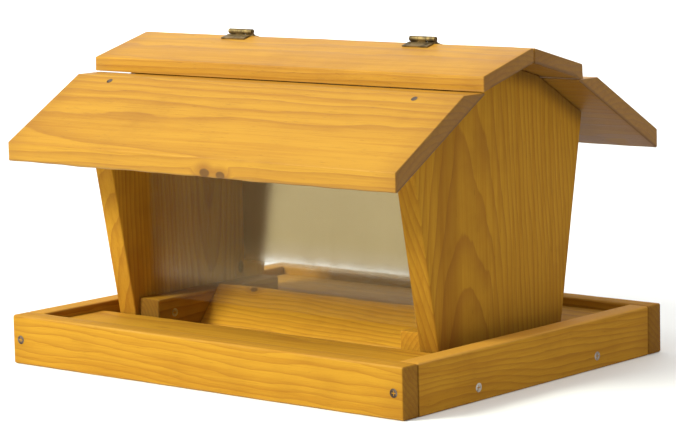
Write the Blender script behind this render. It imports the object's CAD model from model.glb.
# %% [markdown]
# # A wooden hopper bird feeder
# This lesson dresses a measured feeder: stained softwood boards, clear panes, dulled brass
# hinges and plated screws. The measured model is the frame and stays where it is. The
# boards are made again here, because a real board has edges worn unevenly by hand and
# weather, and the measured ones have perfectly regular edges.

# %% Start with the measured model
import bpy
import math
import numpy as np
from mathutils import Matrix, Vector


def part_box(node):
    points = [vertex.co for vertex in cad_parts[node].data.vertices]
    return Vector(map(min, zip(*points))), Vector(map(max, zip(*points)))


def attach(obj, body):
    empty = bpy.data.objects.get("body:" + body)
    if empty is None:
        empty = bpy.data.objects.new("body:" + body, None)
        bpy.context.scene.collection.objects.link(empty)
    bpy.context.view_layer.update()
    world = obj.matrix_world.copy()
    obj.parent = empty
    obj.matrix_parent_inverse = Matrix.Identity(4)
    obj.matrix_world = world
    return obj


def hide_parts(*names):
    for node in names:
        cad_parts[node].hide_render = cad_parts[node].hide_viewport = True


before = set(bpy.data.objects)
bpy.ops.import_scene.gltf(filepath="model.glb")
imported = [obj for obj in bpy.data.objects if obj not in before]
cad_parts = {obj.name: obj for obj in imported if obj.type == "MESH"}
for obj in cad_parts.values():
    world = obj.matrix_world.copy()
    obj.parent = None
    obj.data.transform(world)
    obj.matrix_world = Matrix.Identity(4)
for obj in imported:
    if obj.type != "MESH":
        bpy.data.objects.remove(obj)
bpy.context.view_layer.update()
MM = 0.001

# %% [markdown]
# ## Sizes of the boards
# Each board is a flat outline in the (y, z) plane carried along x. The outlines follow from
# the same few sizes the carpenter would mark out: the tray, the flare of the end panels and
# the two roof slopes. They could be read off the measured pieces' boxes, but a box can't say
# how a corner is cut, so they are written here once. They are in millimetres.

# %% Sizes and slopes
TRAY_LONG, TRAY_DEEP, RAIL_TALL, RAIL_THICK = 406, 330, 40, 18
BASE_THICK, LANDING_THICK, LANDING_CLEAR = 19, 14, 0.8
HOUSE_HALF, PANEL_THICK, PANEL_FOOT = 167.5, 19, 75.5
CLEAT_WIDE, CLEAT_TALL, CLEAT_CLEAR, RAMP_RISE, RAMP_THICK = 22, 27, 1.5, 32.5, 8
EAVE_HALF, EAVE_TALL, LOWER_THICK, LOWER_LONG = 165.5, 180.5, 14, 401
LID_HALF, UPPER_THICK, UPPER_LONG, LID_CLEAR = 62.5, 11.5, 404, 0.4
LAP, LIP, RIDGE_GAP = 3, 1.5, 0.4
FLARE, LOWER_TAN, UPPER_TAN, RAMP_TAN = (
    math.tan(math.radians(a)) for a in (10.65, 30.7, 15.3, 51))

lower_drop = LOWER_THICK * math.hypot(1, LOWER_TAN)
upper_drop = UPPER_THICK * math.hypot(1, UPPER_TAN)
lap_half = LID_HALF - LAP
knee_half = lap_half + (lower_drop - LIP) / LOWER_TAN
knee_tall = EAVE_TALL + (EAVE_HALF - knee_half) * LOWER_TAN
ridge_under = knee_tall + LID_HALF * UPPER_TAN
apex = EAVE_TALL - lower_drop + EAVE_HALF * LOWER_TAN
shoulder_half = (PANEL_FOOT + FLARE * (apex - BASE_THICK)) / (1 + FLARE * LOWER_TAN)
crook_half = (apex - ridge_under) / (LOWER_TAN - UPPER_TAN)
print(f"knee at y {knee_half:.1f}, z {knee_tall:.1f}; ridge underside at z {ridge_under:.1f}")

# %% [markdown]
# ## Outlines
# An outline is a list of corners, anticlockwise, because the way round tells the board
# function which side is outside. The feeder is the same at the front and the back, so only
# the front half is drawn, and the back half is its reflection.


# %% Draw the outlines
def oblong(y_low, y_high, z_low, z_high):
    """The four corners of a rectangle, anticlockwise."""
    return [(y_low, z_low), (y_high, z_low), (y_high, z_high), (y_low, z_high)]


def back_of(outline):
    """The same outline behind the ridge: y changes sign, and so does the order."""
    return [(-y, z) for y, z in reversed(outline)]


half_long, half_deep = TRAY_LONG / 2, TRAY_DEEP / 2
inner_deep = half_deep - RAIL_THICK
inner_long = half_long - RAIL_THICK
landing_edge = PANEL_FOOT + LANDING_THICK * FLARE + LANDING_CLEAR
cleat_half = PANEL_FOOT - CLEAT_CLEAR
ramp_foot = RAMP_RISE / RAMP_TAN
ramp_inner = ramp_foot - RAMP_THICK * math.hypot(1, 1 / RAMP_TAN)
ramp_top = BASE_THICK + RAMP_RISE

front_rail = oblong(-half_deep, -inner_deep, 0, RAIL_TALL)
side_rail = oblong(-inner_deep, inner_deep, 0, RAIL_TALL)
landing = oblong(-inner_deep, -landing_edge, BASE_THICK, BASE_THICK + LANDING_THICK)
cleat = oblong(-cleat_half, cleat_half, BASE_THICK, BASE_THICK + CLEAT_TALL)
gable = [(-PANEL_FOOT, BASE_THICK), (PANEL_FOOT, BASE_THICK),
         (shoulder_half, apex - shoulder_half * LOWER_TAN),
         (crook_half, apex - crook_half * LOWER_TAN), (0, ridge_under),
         (-crook_half, apex - crook_half * LOWER_TAN),
         (-shoulder_half, apex - shoulder_half * LOWER_TAN)]
ramp = [(-ramp_foot, BASE_THICK), (-ramp_inner, BASE_THICK),
        (0, ramp_top - RAMP_THICK * math.hypot(1, RAMP_TAN)), (0, ramp_top)]
lower_roof = [(-EAVE_HALF, EAVE_TALL - lower_drop), (-lap_half, knee_tall - LIP),
              (-lap_half, knee_tall), (-knee_half, knee_tall), (-EAVE_HALF, EAVE_TALL)]


def upper_roof(lift, settle=0):
    """The front upper board, raised by lift. Its underside is let down by settle, which
    closes the joint with the board it rests on."""
    low, high = knee_tall + lift, ridge_under + lift - RIDGE_GAP * UPPER_TAN
    return [(-LID_HALF, low - settle), (-RIDGE_GAP, high - settle),
            (-RIDGE_GAP, high + upper_drop), (-LID_HALF, low + upper_drop)]


print(len(gable), "corners on an end panel")

# %% [markdown]
# ## A board with worn edges
# A planed board leaves the shop with an even rounding on its edges. Handling and rain then
# round it more in some places than in others. A Bevel modifier gives only the even rounding,
# so here a grid is worked out whose rounding wanders slowly along the board, and whose two
# ends are rounded in the same way. Faces sit a hair inside the outlines, which leaves
# fine joint lines and lets screw heads stand clear.

# %% How worn an edge is
INSET = 0.15            # how far the faces sit inside the outlines
WEAR = 0.4              # how much the rounding varies, as a share of itself
ARC_STEPS = 6           # points on each rounded corner
SLICE = 4               # distance between the rings of points along a board
WAVES = (31, 13.7, 5.9)
PHASES = (1, 2.1, 3.3)


def wander(x, phase):
    """A smooth unevenness from -1 to 1: the mean of three sines of unrelated lengths."""
    waves = [np.sin(x / wave + shift * phase) for wave, shift in zip(WAVES, PHASES)]
    return sum(waves) / len(waves)


print("wander over a board:", wander(np.linspace(0, 400, 5), 0).round(2))

# %% [markdown]
# Every corner's rounding is an arc. Its centre lies on the line that halves the corner, and
# its two ends are square to the two sides that meet there.


# %% Corners of an outline
def corner_turns(outline):
    """The corners, the way out to each along its halving line, and its arc's start and turn.

    A side's outward normal is the side turned a quarter clockwise. The halving direction is
    the sum of the two normals over 1 + their dot product, so a corner moved inwards by it
    times r lies r inside both sides.
    """
    corners = np.array(outline, float)
    after = np.roll(corners, -1, axis=0) - corners
    after /= np.linalg.norm(after, axis=1)[:, None]
    outward = np.stack([after[:, 1], -after[:, 0]], axis=1)
    before = np.roll(outward, 1, axis=0)
    agree = (before * outward).sum(1)
    middle = (before + outward) / (1 + agree)[:, None]
    turn = np.arctan2(before[:, 0] * outward[:, 1] - before[:, 1] * outward[:, 0], agree)
    start = np.arctan2(before[:, 1], before[:, 0])
    return corners, middle, start, turn


print("a gable's corners turn", np.degrees(corner_turns(gable)[3]).round(), "degrees")

# %% [markdown]
# The grid of points becomes a mesh here: a quad between each four neighbours, and one flat
# face on each end. Edges sharper than a limit stay sharp, so flat faces shade flat.

# %% From a grid to a mesh
SHARP_OVER = math.radians(40)


def capped_tube(name, points):
    """A closed mesh through points[ring, place on the ring], which are in millimetres."""
    rows, around = points.shape[:2]
    ring = np.arange(rows - 1)[:, None] * around
    here, beside = ring + np.arange(around), ring + (np.arange(around) + 1) % around
    quads = np.stack([here + around, beside + around, beside, here], axis=-1)
    first_cap = np.arange(around)
    last_cap = first_cap[::-1] + (rows - 1) * around
    faces = quads.reshape(-1, 4).tolist() + [first_cap.tolist(), last_cap.tolist()]
    mesh = bpy.data.meshes.new(name)
    mesh.from_pydata((points.reshape(-1, 3) * MM).tolist(), [], faces)
    mesh.polygons.foreach_set("use_smooth", np.ones(len(mesh.polygons), bool))
    mesh.validate()
    mesh.update()
    mesh.set_sharp_from_angle(angle=SHARP_OVER)
    made = bpy.data.objects.new(name, mesh)
    bpy.context.scene.collection.objects.link(made)
    return made


print("edges stay sharp over", round(math.degrees(SHARP_OVER)), "degrees")

# %% [markdown]
# The board puts the two together. A test board of known size shows whether the faces point
# outwards and the rounding takes away only a little wood.

# %% One function for every board
END_REACH = 0.92        # how far the end's rounding reaches, in the largest radius
END_LIMIT = 0.97        # the most an end draws a corner's arc in, in its radius
CORNER_PHASE = 1.7      # how differently neighbouring edges wander


def board(name, outline, x_low, x_high, ease=1.5):
    """A board as a grid: one parameter goes round the outline, the other along x.

    Each corner's rounding is an arc about a centre that lies one radius inside both of its
    sides. Near an end the whole outline draws in by r * (1 - cos t) while x moves out by
    r * sin t, with t from 0 to a quarter turn. The radius is ease * (1 + WEAR * wander), and
    ease is one number or one for each corner.
    """
    corners, middle, start, turn = corner_turns(outline)
    angle = start[:, None] + turn[:, None] * np.linspace(0, 1, ARC_STEPS)
    spoke = np.stack([np.cos(angle), np.sin(angle)], axis=-1)

    x_low, x_high = x_low + INSET, x_high - INSET
    ease = np.broadcast_to(np.array(ease, float), len(corners))
    tip = END_REACH * ease.max()
    t = np.linspace(math.pi / 2, 0, ARC_STEPS)[:-1]
    past, drawn = tip * (1 - np.sin(t)), tip * (1 - np.cos(t))
    count = max(2, round((x_high - x_low) / SLICE))
    along = np.linspace(x_low + tip, x_high - tip, count)
    x = np.concatenate([x_low + past, along, x_high - past[::-1]])
    draw_in = np.concatenate([drawn, np.zeros(count), drawn[::-1]])

    phase = np.arange(len(corners)) * CORNER_PHASE + len(name)
    radius = ease * (1 + WEAR * wander(x[:, None], phase[None, :]))
    draw_in = np.minimum(draw_in[:, None], END_LIMIT * radius)
    centre = corners[None] - middle[None] * (radius + INSET)[..., None]
    ring = centre[:, :, None] + spoke[None] * (radius - draw_in)[..., None, None]
    points = np.empty((len(x), len(corners) * ARC_STEPS, 3))
    points[..., 0] = x[:, None]
    points[..., 1:] = ring.reshape(len(x), -1, 2)
    return capped_tube(name, points)


test = board("test_board", oblong(-50, 50, 0, 20), -100, 100)
volume = sum(p.area * p.center.dot(p.normal) for p in test.data.polygons) / 3
print(f"a 200 x 100 x 20 mm board holds {volume * 1e6:.1f} cm3 of 400")
bpy.data.objects.remove(test)

# %% [markdown]
# ## Put the boards in place
# Every board stands for the measured one of the same name and moves with the same body: the
# front upper roof board is the lid and turns with its hinges, and the rest stay with the
# feeder. Thin noses get a smaller rounding than square edges, corner by corner. The print
# sets each board's size beside its measured piece's, so a difference shows.

# %% Make the boards
panel_in = HOUSE_HALF - PANEL_THICK
cleat_in = panel_in - CLEAT_WIDE
lower_out, upper_out = LOWER_LONG / 2, UPPER_LONG / 2
nose_ease = [1.1, 0.35, 0.35, 1.0, 1.3]
upper_ease = [0.3, 0.6, 1.2, 1.2]
boards = {
    # board: outline, from x, to x, rounding
    "base_board": (oblong(-inner_deep, inner_deep, 0, BASE_THICK), -inner_long, inner_long, 0.6),
    "front_rail": (front_rail, -half_long, half_long, 1.7),
    "back_rail": (back_of(front_rail), -half_long, half_long, 1.7),
    "left_rail": (side_rail, -half_long, -inner_long, 1.5),
    "right_rail": (side_rail, inner_long, half_long, 1.5),
    "front_landing_board": (landing, -inner_long, inner_long, 1.5),
    "back_landing_board": (back_of(landing), -inner_long, inner_long, 1.5),
    "left_end_panel": (gable, -HOUSE_HALF, -panel_in, 1.5),
    "right_end_panel": (gable, panel_in, HOUSE_HALF, 1.5),
    "left_cleat": (cleat, -panel_in, -cleat_in, 1.5),
    "right_cleat": (cleat, cleat_in, panel_in, 1.5),
    "front_ramp": (ramp, -cleat_in, cleat_in, 0.7),
    "back_ramp": (back_of(ramp), -cleat_in, cleat_in, 0.7),
    "front_lower_roof": (lower_roof, -lower_out, lower_out, nose_ease),
    "back_lower_roof": (back_of(lower_roof), -lower_out, lower_out, nose_ease[::-1]),
    "back_upper_roof": (back_of(upper_roof(0, 2 * INSET)), -upper_out, upper_out,
                        upper_ease[::-1]),
    "lid": (upper_roof(LID_CLEAR), -upper_out, upper_out, upper_ease),
}


def corners_of(piece):
    """The lowest and highest corners of a piece's mesh, in millimetres."""
    points = np.empty(len(piece.data.vertices) * 3, np.float32)
    piece.data.vertices.foreach_get("co", points)
    points = points.reshape(-1, 3) / MM
    return points.min(0), points.max(0)


wood = {}
for name, (outline, x_low, x_high, ease) in boards.items():
    piece = board(name + "_wood", outline, x_low, x_high, ease)
    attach(piece, "lid" if name == "lid" else "feeder")
    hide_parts(name)
    wood[name] = piece
    low, high = corners_of(piece)
    measured_low, measured_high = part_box(name)
    measured = [round(s / MM, 1) for s in measured_high - measured_low]
    print(name, (high - low).round(1), "of", measured)

# %% [markdown]
# ## Writing shader sums as sums
# A material is a chain of small sums. Each could be dragged together by hand in the node
# editor, but wrapping a socket in a class lets Python's own operators write them, so
# `1 - mask` adds a Math node that subtracts.


# %% The socket class
class Wire:
    """A shader socket that can be added, multiplied and so on."""

    def __init__(self, finish, socket):
        self.finish, self.socket = finish, socket

    def __add__(self, other):
        return self.finish.math("ADD", self, other)

    def __sub__(self, other):
        return self.finish.math("SUBTRACT", self, other)

    def __rsub__(self, other):
        return self.finish.math("SUBTRACT", other, self)

    def __mul__(self, other):
        return self.finish.math("MULTIPLY", self, other)

    def __truediv__(self, other):
        return self.finish.math("DIVIDE", self, other)

    def __pow__(self, other):
        return self.finish.math("POWER", self, other)

    def __abs__(self):
        return self.finish.math("ABSOLUTE", self)

    __radd__ = __add__
    __rmul__ = __mul__

    def ramp(self, low, high):
        """0 below low, 1 above high, and a smooth rise between."""
        return self.finish.node("ShaderNodeMapRange", dict(interpolation_type="SMOOTHSTEP"),
                                self, low, high, 0, 1)


print("reflected operators:", [n for n in ("__radd__", "__rsub__", "__rmul__") if hasattr(Wire, n)])

# %% [markdown]
# The material itself is a second class. It holds the one method that adds a node, and short
# names for the nodes that wood, metal and panes all need.

# %% The material class
MIX_COLOUR_PLACES = (None,) * 5     # the Mix node's sockets between its factor and its colours


class Finish:
    """A material being written, with its surface node ready."""

    def __init__(self, name):
        self.material = bpy.data.materials.new(name)
        self.material.use_nodes = True
        self.nodes = self.material.node_tree.nodes
        self.links = self.material.node_tree.links
        self.surface = self.nodes["Principled BSDF"]
        self.place = self.node("ShaderNodeTexCoord", {}, output="Object")

    def node(self, kind, settings, *inputs, output=0, **named):
        """Any node: its settings first, then the values or wires of its sockets."""
        made = self.nodes.new(kind)
        for key, value in settings.items():
            setattr(made, key, value)
        for socket, value in zip(made.inputs, inputs):
            self.feed(socket, value)
        for key, value in named.items():
            self.feed(made.inputs[key], value)
        return Wire(self, made.outputs[output])

    def feed(self, socket, value):
        """Link a wire to a socket, or set a value on it. A colour of three numbers is opaque."""
        if isinstance(value, Wire):
            self.links.new(value.socket, socket)
        elif value is not None:
            if socket.type == "RGBA":
                value = (*value, 1)
            socket.default_value = value

    def math(self, operation, *values):
        return self.node("ShaderNodeMath", dict(operation=operation), *values)

    def most(self, wires):
        """The largest of one or more wires."""
        top = wires[0]
        for wire in wires[1:]:
            top = self.math("MAXIMUM", top, wire)
        return top

    def in_mm(self):
        """The place on the piece in millimetres, as three wires."""
        place = self.node("ShaderNodeVectorMath", dict(operation="MULTIPLY"),
                          self.place, (1 / MM,) * 3)
        split = self.node("ShaderNodeSeparateXYZ", {}, place).socket.node
        return [Wire(self, socket) for socket in split.outputs]

    def stretched(self, scale, shift=(0, 0, 0)):
        """The place in millimetres, moved by shift, then scaled along each axis."""
        moved = self.node("ShaderNodeVectorMath", dict(operation="MULTIPLY_ADD"),
                          self.place, (1 / MM,) * 3, tuple(shift))
        return self.node("ShaderNodeVectorMath", dict(operation="MULTIPLY"), moved, tuple(scale))

    def noise(self, where, detail=3, rough=0.5):
        return self.node("ShaderNodeTexNoise", dict(noise_dimensions="3D"), Vector=where,
                         Scale=1.0, Detail=detail, Roughness=rough, Distortion=0.0)

    def mix(self, share, first, second, blend="MIX"):
        """Colour first where share is 0 and second where it is 1."""
        return self.node("ShaderNodeMix", dict(data_type="RGBA", blend_type=blend),
                         share, *MIX_COLOUR_PLACES, first, second, output=2)

    def layers(self, colour, coats):
        """Thin coats laid on a colour in turn. A coat is its share, then its own colour."""
        for share, coat in coats:
            colour = self.mix(share, colour, coat)
        return colour

    def done(self, bump=None, bump_deep=0.3, **sockets):
        """Feed the surface's sockets, and a Bump node if there is a height in millimetres."""
        for key, value in sockets.items():
            self.feed(self.surface.inputs[key.replace("_", " ")], value)
        if bump is not None:
            normal = self.node("ShaderNodeBump", {}, Height=bump, Distance=bump_deep * MM,
                               Strength=1.0)
            self.feed(self.surface.inputs["Normal"], normal)
        return self.material


print("a Mix node skips", len(MIX_COLOUR_PLACES), "sockets to its colours")

# %% [markdown]
# ## Stained softwood
# Sawn softwood shows slices through the tree's growth rings. A wood texture node draws
# evenly spaced bands, which no board has. But if the material knows where the tree's heart
# was, one formula gives long flames on a face and curved rings on an end. The distance from
# the heart, bent by slow noise, is divided by the ring spacing, and its fraction rises from
# pale spring wood to a dark summer line.

# %% Wood tones and directions
AXES = {"x": (0, 1, 2), "y": (1, 0, 2), "z": (2, 0, 1)}     # the grain's axis first
LEAN = {"x": 0.02, "y": 0.03, "z": 0.075}       # how far the heart strays along the grain
PALE, HONEY = (0.52, 0.253, 0.019), (0.42, 0.178, 0.012)
RUST, UMBER = (0.235, 0.080, 0.008), (0.070, 0.027, 0.008)
WORN_EDGE, WORN_TOP = (0.60, 0.34, 0.10), (0.75, 0.36, 0.05)


def by_axis(grain, along, across):
    """Three numbers with `along` on the grain's axis and `across` on the other two."""
    values = [across, across, across]
    values[AXES[grain][0]] = along
    return values


def heart_distance(at, grain, heart, sway, swirl):
    """How far a place is from the tree's heart: the square root of u * u + v * v.

    u and v are measured from the heart, across the grain. Slow noise sways and swirls them,
    by up to half the millimetres given here, and the heart leans out of the board's line.
    """
    main, side, up = AXES[grain]
    u = at[side] - heart[0] + at[main] * LEAN[grain] + (sway - 0.5) * 17 + (swirl - 0.5) * 3
    v = at[up] - heart[1] + (swirl - 0.5) * 6
    return (u * u + v * v) ** 0.5


print("wood tones:", PALE, UMBER)

# %% [markdown]
# A knot is a branch that the board cuts through. It is a small egg of dark wood, longer
# along the grain, and the rings bend round it, so it has a core and a wide halo.

# %% Knots
KNOT_LONG = 1.55        # a knot's length along the grain, in its width


def knot_marks(at, grain, knot, swirl):
    """A knot's core and halo, each from 0 to 1. The distance is counted in its radius."""
    *centre, radius = knot
    off = [(at[i] - centre[i]) / (radius * (KNOT_LONG if i == AXES[grain][0] else 1.0))
           for i in AXES[grain]]
    wobble = (swirl - 0.5) * 1.1
    far = (off[0] * off[0] + off[1] * off[1] + off[2] * off[2]) ** 0.5 + wobble
    return 1 - far.ramp(0.72, 1.15), 1 - far.ramp(0.9, 3.4)


print("a knot of radius 3 is", round(2 * 3 * KNOT_LONG, 1), "mm long")

# %% [markdown]
# Damp gathers under the roof boards, and the stain has gone darker there. Both slopes' undersides
# are planes, so the distance below them is a sum, and one mask serves the roof boards and
# the tops of the end panels.

# %% Below the roof
lower_steep, upper_steep = math.hypot(1, LOWER_TAN), math.hypot(1, UPPER_TAN)


def below_roof(f, at):
    """How far a place is below the roof's underside; less than 0 inside the roof boards.

    A slope's underside is z = its height over the ridge - |y| * its tangent. The distance is
    the gap in z over the slope's hypotenuse, and the smaller of the two slopes' counts.
    """
    aside = abs(at[1])
    steep = (apex - aside * LOWER_TAN - at[2]) / lower_steep
    shallow = (ridge_under - aside * UPPER_TAN - at[2]) / upper_steep
    return f.math("MINIMUM", steep, shallow)


print("the roof's underside is", round(apex, 1), "mm up at the ridge if the steep slope went on")

# %% [markdown]
# Now the whole finish. Each coat below is one thing that happened to the board: summer wood
# took more stain, pores filled, the ends drank it, edges and rail tops wore pale. Oiled
# boards high up keep a faint sheen, and the ones that rain and feet reach have gone matt.

# %% The wood formula
NO_END_GRAIN = ("ramp", "base", "right_cleat")      # hidden in a joint, or cut clean
HEARTWOOD_Y = -63                                   # middle of the right panel's dark strip


def softwood(name, grain, heart, box, knots, spacing, tone, stain, seed):
    """Wood of one board. grain is the axis it runs along, and heart the tree's centre on the
    other two axes. box is the board's corners, and a knot is (x, y, z, radius), all in mm."""
    f = Finish(name)
    main, side, up = AXES[grain]
    shift = (seed * 37.0, seed * 91.0, seed * 53.0)
    at = f.in_mm()

    def drawn_out(along, across, detail, rough=0.5):
        """Noise drawn out along the grain; along and across are in waves per millimetre."""
        return f.noise(f.stretched(by_axis(grain, along, across), shift), detail, rough)

    sway, swirl = drawn_out(0.0045, 0.016, 2), drawn_out(0.012, 0.05, 3)
    fibre, streak = drawn_out(0.02, 1.1, 4, 0.62), drawn_out(0.006, 0.22, 3, 0.55)
    pores = drawn_out(0.09, 2.6, 2).ramp(0.66, 0.78)
    blotch = drawn_out(0.011, 0.011, 4, 0.6)

    marks = [knot_marks(at, grain, knot, swirl) for knot in knots]
    reach = heart_distance(at, grain, heart, sway, swirl)
    for core, halo in marks:
        reach = reach + halo * spacing
    year = f.math("FRACT", reach / spacing + (sway - 0.5) * 0.8)
    summer = year ** 2.6 * (1 - year.ramp(0.93, 1.0))

    low, high = box
    gap = [f.math("MINIMUM", at[i] - low[i], high[i] - at[i]) for i in range(3)]
    arris = (1 - gap[side].ramp(0.3, 2.4)) * (1 - gap[up].ramp(0.3, 2.4)) * fibre.ramp(0.35, 0.6)

    coats = [(streak.ramp(0.42, 0.7) * 0.6, HONEY), (fibre.ramp(0.5, 0.78) * 0.3, RUST),
             (summer * (0.2 + 0.22 * stain), RUST), (blotch.ramp(0.48, 0.76) * stain * 0.6, RUST),
             (pores * 0.5, UMBER), ((1 - gap[main].ramp(2, 26)) * 0.2, RUST)]
    if not any(word in name for word in NO_END_GRAIN):
        coats.append(((1 - gap[main].ramp(0.4, 1.1)) * 0.54, UMBER))
    if marks:
        coats += [(f.most([halo for core, halo in marks]) * 0.42, RUST),
                  (f.most([core for core, halo in marks]) * 0.72, UMBER)]
    if "panel" in name:
        coats.append(((1 - below_roof(f, at).ramp(1, 17)) * 0.62, UMBER))
    oiled = "roof" in name or "lid" in name
    if oiled:
        coats.append((below_roof(f, at).ramp(-3, -0.8) * 0.55, UMBER))
    if "rail" in name:
        worn_top = at[2].ramp(RAIL_TALL - 1.6, RAIL_TALL - 0.6)
        coats.append((worn_top * (0.7 if grain == "y" else 0.12), WORN_TOP))
    if "right_end_panel" in name:
        strip = at[1] - HEARTWOOD_Y + (sway - 0.5) * 24
        coats.append(((1 - abs(strip).ramp(6, 19)) * 0.4, RUST))
    coats.append((arris * 0.3, WORN_EDGE))
    colour = f.layers(f.mix(summer * 0.7, PALE, HONEY), coats)

    return f.done(bump=summer * 0.45 + fibre * 0.5 - pores * 0.6, bump_deep=0.16,
                  Base_Color=f.mix(1.0, colour, (tone,) * 3, "MULTIPLY"),
                  Roughness=(0.36 if oiled else 0.64) + 0.20 * fibre + 0.14 * pores
                  + 0.12 * (1 - summer),
                  Coat_Weight=0.06 if oiled else 0.0, Coat_Roughness=0.35,
                  Specular_IOR_Level=0.22 if oiled else 0.11)


print("no end grain shows on boards named with", NO_END_GRAIN)

# %% [markdown]
# ## One tree, many boards
# No two boards show the same slice. Each has its own heart, far below its face for straight
# lines or close to it for broad flames, and its own shift of the noise. The few knots sit
# where they catch the eye: on the front eave, inside the house and on the ramp.

# %% Finish each board
grains = {
    # board: grain, heart on the other two axes, ring spacing, tone, depth of stain, knots
    "base_board": ("x", (40, -95), 5.0, 0.80, 0.6, ()),
    "front_rail": ("x", (-60, 96), 3.6, 0.97, 0.32, ()),
    "back_rail": ("x", (60, -70), 4.0, 0.95, 0.5, ((-70, 160, 22, 5),)),
    "left_rail": ("y", (-95, 60), 3.8, 0.80, 0.7, ()),
    "right_rail": ("y", (110, -70), 3.6, 0.86, 0.55, ()),
    "front_landing_board": ("x", (-118, -60), 4.2, 1.2, 0.4, ()),
    "back_landing_board": ("x", (95, -42), 4.2, 0.95, 0.5, ((60, 120, 28, 4),)),
    "left_end_panel": ("z", (-118, 14), 4.4, 1.04, 0.6, ((-148.5, 51, 55, 3.4),)),
    "right_end_panel": ("z", (112, -46), 4.4, 0.80, 0.6, ()),
    "left_cleat": ("y", (-170, 10), 3.4, 0.95, 0.8, ()),
    "right_cleat": ("y", (170, 12), 3.4, 1.2, 0.3, ()),
    "front_ramp": ("x", (-60, -30), 3.8, 1.45, 0.4, ((-86, -2.5, 48.5, 2.6),)),
    "back_ramp": ("x", (60, -34), 3.8, 0.92, 0.5, ()),
    "front_lower_roof": ("x", (-98, 118), 4.8, 0.91, 0.45,
                         ((14, -165.5, 169, 3.2), (30, -165.5, 168, 2.8))),
    "back_lower_roof": ("x", (120, 110), 4.8, 0.98, 0.5, ((70, 120, 207, 4.5),)),
    "back_upper_roof": ("x", (40, 150), 4.4, 0.95, 0.5, ()),
    "lid": ("x", (-24, 158), 4.2, 1.0, 0.45, ()),
}
slots = {"rail": "tray_wood", "landing": "tray_wood", "base": "tray_wood", "panel": "panel_wood",
         "cleat": "panel_wood", "ramp": "panel_wood", "roof": "roof_wood", "lid": "roof_wood"}
for seed, (name, (grain, heart, spacing, tone, stain, knots)) in enumerate(grains.items()):
    box = [corner.tolist() for corner in corners_of(wood[name])]
    wood[name].data.materials.append(
        softwood(name + "_stain", grain, heart, box, knots, spacing, tone, stain, seed))
    next(slot for part, slot in slots.items() if part in name)
print(len(grains), "boards stained")

# %% [markdown]
# ## Dulled brass and plated steel
# Garden hinges lose their shine within a season. The brass goes brown, darkest in the corners
# that hold water, and stays brighter where fingers touch it. Plated screws turn grey with a
# little rust round the recess. Clouds of noise between two tones do this without painting.


# %% Metal finishes
def metal(name, bright, dull, rough, rust):
    """Tarnish: slow noise mixes a bright and a dull colour, and finer noise adds brown spots."""
    f = Finish(name)
    cloud = f.noise(f.stretched((0.16, 0.16, 0.16)), 4, 0.6)
    speck = f.noise(f.stretched((0.9, 0.9, 0.9), (11, 5, 3)), 3, 0.6)
    brush = f.noise(f.stretched((0.25, 3.0, 3.0)), 2)
    spots = speck.ramp(0.56, 0.72) * rust
    colour = f.mix(cloud.ramp(0.36, 0.66), bright, dull)
    return f.done(bump=speck * 0.6 + brush * 0.4, bump_deep=0.05,
                  Base_Color=f.mix(spots, colour, (0.10, 0.042, 0.016)),
                  Metallic=1 - spots * 0.8, Roughness=cloud * 0.3 + speck * 0.12 + rough)


brass = metal("dulled_brass", (0.30, 0.205, 0.085), (0.105, 0.072, 0.034), 0.36, 0.6)
steel = metal("plated_steel", (0.50, 0.47, 0.42), (0.24, 0.20, 0.16), 0.24, 0.7)
nail_steel = metal("nail_steel", (0.20, 0.15, 0.12), (0.07, 0.045, 0.03), 0.3, 0.8)
print("metals:", brass.name, steel.name, nail_steel.name)

# %% [markdown]
# The hinges and their screws are brass. The nails and the rails' corner screws have rusted
# most, and the other screws are still grey. These stay the measured pieces, because turned
# and stamped metal has the regular edges that they already have.


# %% Give the metal pieces their finish
def metal_for(name):
    """The finish of a metal piece, or None for a board or a pane."""
    if "hinge" in name:
        return brass
    if "nails" in name or name == "rail_corner_screws":
        return nail_steel
    return steel if "screws" in name else None


def dress(node, material):
    """Replace whatever a measured piece wears."""
    node.data.materials.clear()
    node.data.materials.append(material)


metal_pieces = [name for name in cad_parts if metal_for(name)]
for name in metal_pieces:
    dress(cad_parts[name], metal_for(name))
print("metal on", metal_pieces)

# %% [markdown]
# ## Clear panes, seen after a season
# The panes are clear acrylic. The front one is clean enough to miss, and shows itself by its
# gloss and by dust along its groove. The back one has a warm film of seed dust over all but
# its lowest strip, which the moving seed rubs clear. The film still glows with the light from
# behind, so the back pane's surface lets light through where the film hides what is behind,
# and Alpha says how much is hidden.

# %% Dusty acrylic
FILM_LIGHT, FILM_DARK = (0.43, 0.335, 0.170), (0.375, 0.29, 0.145)
FILM_EDGE, GROOVE_DUST = (0.56, 0.48, 0.34), (0.66, 0.62, 0.52)


def dusty_pane(name, film, groove_dust, glow, matt):
    """Clear sheet with a film of dust: slow cloud noise, fine speckle, and clear low down.

    film is the share hidden high on the pane, groove_dust the share near its sheltered right
    end, glow the share of light that passes through the film, and matt how rough it is."""
    f = Finish(name)
    across, _, height = f.in_mm()
    cloud = f.noise(f.stretched((0.012, 0.012, 0.02)), 4, 0.6)
    run = f.noise(f.stretched((0.12, 0.12, 0.008)))
    speck = f.noise(f.stretched((1.4, 1.4, 1.4)), 2).ramp(0.62, 0.74)
    level = height + (run - 0.5) * 6
    settled, above_edge = level.ramp(54, 71), level.ramp(60, 84)
    end = across.ramp(126, 146) * run.ramp(0.25, 0.6)
    dust = cloud * 0.55 + run * 0.25
    colour = f.layers(f.mix(dust.ramp(0.3, 0.6), FILM_LIGHT, FILM_DARK),
                      [((1 - above_edge) * 0.8, FILM_EDGE), (end * 0.8, GROOVE_DUST)])
    return f.done(bump=cloud, Base_Color=colour, IOR=1.2, Transmission_Weight=glow,
                  Roughness=dust * 0.4 + matt,
                  Alpha=settled * film + end * groove_dust + speck * 0.04 + 0.02)


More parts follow.
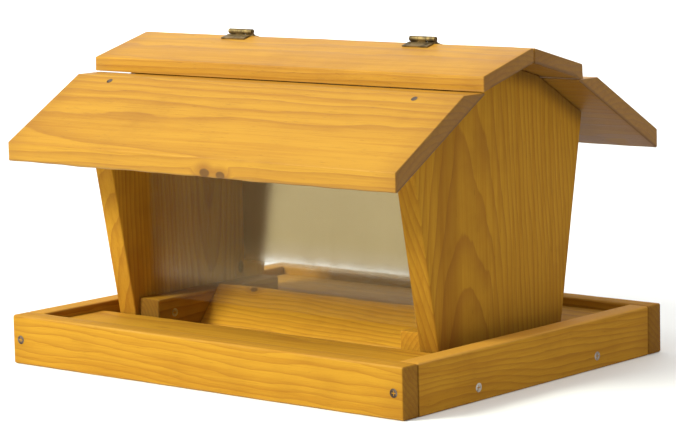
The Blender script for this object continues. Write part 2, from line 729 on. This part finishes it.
panes = {"front_window": (0.09, 0.5, 0.0, 0.04), "back_window": (0.96, 0.2, 0.92, 0.3)}
for name, share in panes.items():
    dress(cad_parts[name], dusty_pane(name + "_acrylic", *share))

# %% [markdown]
# ## A pale floor
# A feeder is shown on a floor with no horizon. A flat plane would end in a line, so the sheet
# turns up behind the feeder in a quarter circle. The world gives an even white light.

# %% Floor and world
FLOOR_HALF, FLOOR_BACK, FLOOR_RISE, FLOOR_BEND, BEND_STEPS = 9, 4, 6, 2, 24     # metres
WORLD_STRENGTH = 0.64


def floor_sheet():
    """A sheet: flat as far as FLOOR_BACK, a quarter circle of radius FLOOR_BEND, then up."""
    t = np.linspace(0, math.pi / 2, BEND_STEPS)
    back_end = FLOOR_BACK + FLOOR_BEND
    y = np.concatenate([[-FLOOR_HALF], FLOOR_BACK + FLOOR_BEND * np.sin(t), [back_end]])
    z = np.concatenate([[0], FLOOR_BEND * (1 - np.cos(t)), [FLOOR_RISE]])
    x = np.array([-FLOOR_HALF, FLOOR_HALF])
    points = np.stack([np.tile(x, len(y)), np.repeat(y, 2), np.repeat(z, 2)], axis=1)
    row = np.arange(len(y) - 1) * 2
    quads = np.stack([row, row + 1, row + 3, row + 2], axis=1)
    mesh = bpy.data.meshes.new("floor")
    mesh.from_pydata(points.tolist(), [], quads.tolist())
    mesh.polygons.foreach_set("use_smooth", np.ones(len(quads), bool))
    made = bpy.data.objects.new("floor", mesh)
    bpy.context.scene.collection.objects.link(made)
    return made


floor = floor_sheet()
floor.data.materials.append(Finish("pale_floor").done(Base_Color=(0.90, 0.90, 0.90), Roughness=0.9))
world = bpy.data.worlds.new("studio")
bpy.context.scene.world = world
world.use_nodes = True
world.node_tree.nodes["Background"].inputs["Color"].default_value = (1, 1, 1, 1)
world.node_tree.nodes["Background"].inputs["Strength"].default_value = WORLD_STRENGTH
bpy.context.scene.view_settings.view_transform = "Standard"
print("floor of", len(floor.data.polygons), "faces")

# %% [markdown]
# ## Lights
# The key light is a large panel in front and to the left, so the long front faces are bright
# and the right end falls into shade. A wide, weak panel overhead lifts the roof and the
# rails' tops, and a third lights only the backdrop, so the floor fades to white.


# %% Three panels of light
def panel_light(name, place, aim, wide, power, colour=(1, 1, 1)):
    """A square soft light at a place, turned towards its aim."""
    light = bpy.data.lights.new(name, "AREA")
    light.shape, light.size, light.energy, light.color = "SQUARE", wide, power, colour
    made = bpy.data.objects.new(name, light)
    bpy.context.scene.collection.objects.link(made)
    made.location = place
    made.rotation_euler = (Vector(aim) - Vector(place)).to_track_quat("-Z", "Y").to_euler()
    return made


HOUSE_MIDDLE = (0, 0, 0.12)
lights = [
    panel_light("key", (-1.1, -2.15, 1.72), HOUSE_MIDDLE, 0.9, 91, (0.925, 1.0, 0.87)),
    panel_light("top", (0.0, -0.3, 2.6), HOUSE_MIDDLE, 1.6, 28, (0.98, 1.0, 0.92)),
    panel_light("backdrop_light", (-3.6, 3.0, 3.4), (-4.2, 5.2, 0.4), 3, 260),
]
print("lights:", [light.name for light in lights])

# %% [markdown]
# ## Camera
# The camera stands a little above the tray and looks along one corner, so the front, the
# right end and the roof all show. A long lens from far off keeps the edges nearly parallel.
# Its axes are worked out from the two angles, and then it is rolled a little.

# %% Camera
AZIMUTH, ELEVATION, ROLL, DISTANCE = 40.451, 7.889, -1.25, 2.3214
LENS, SENSOR = 154.25, 36
TARGET = Vector((0.00442, 0, 0.11325))
az, el, roll = (math.radians(a) for a in (AZIMUTH, ELEVATION, ROLL))
back = Vector((math.sin(az) * math.cos(el), -math.cos(az) * math.cos(el), math.sin(el)))
right = (-back).cross(Vector((0, 0, 1))).normalized()
up = right.cross(-back)
across = math.cos(roll) * right + math.sin(roll) * up
upward = math.cos(roll) * up - math.sin(roll) * right
camera_data = bpy.data.cameras.new("camera")
camera_data.lens, camera_data.sensor_width = LENS, SENSOR
camera = bpy.data.objects.new("camera", camera_data)
bpy.context.scene.collection.objects.link(camera)
turned = Matrix((across, upward, back)).transposed().to_4x4()
camera.matrix_world = Matrix.Translation(TARGET + back * DISTANCE) @ turned
bpy.context.scene.camera = camera
print("camera at", [round(c, 3) for c in camera.matrix_world.translation])

# %% [markdown]
# ## Sizes and the end
# The measured box and the dressed box are written side by side, so a difference shows.

# %% Write the sizes and finish
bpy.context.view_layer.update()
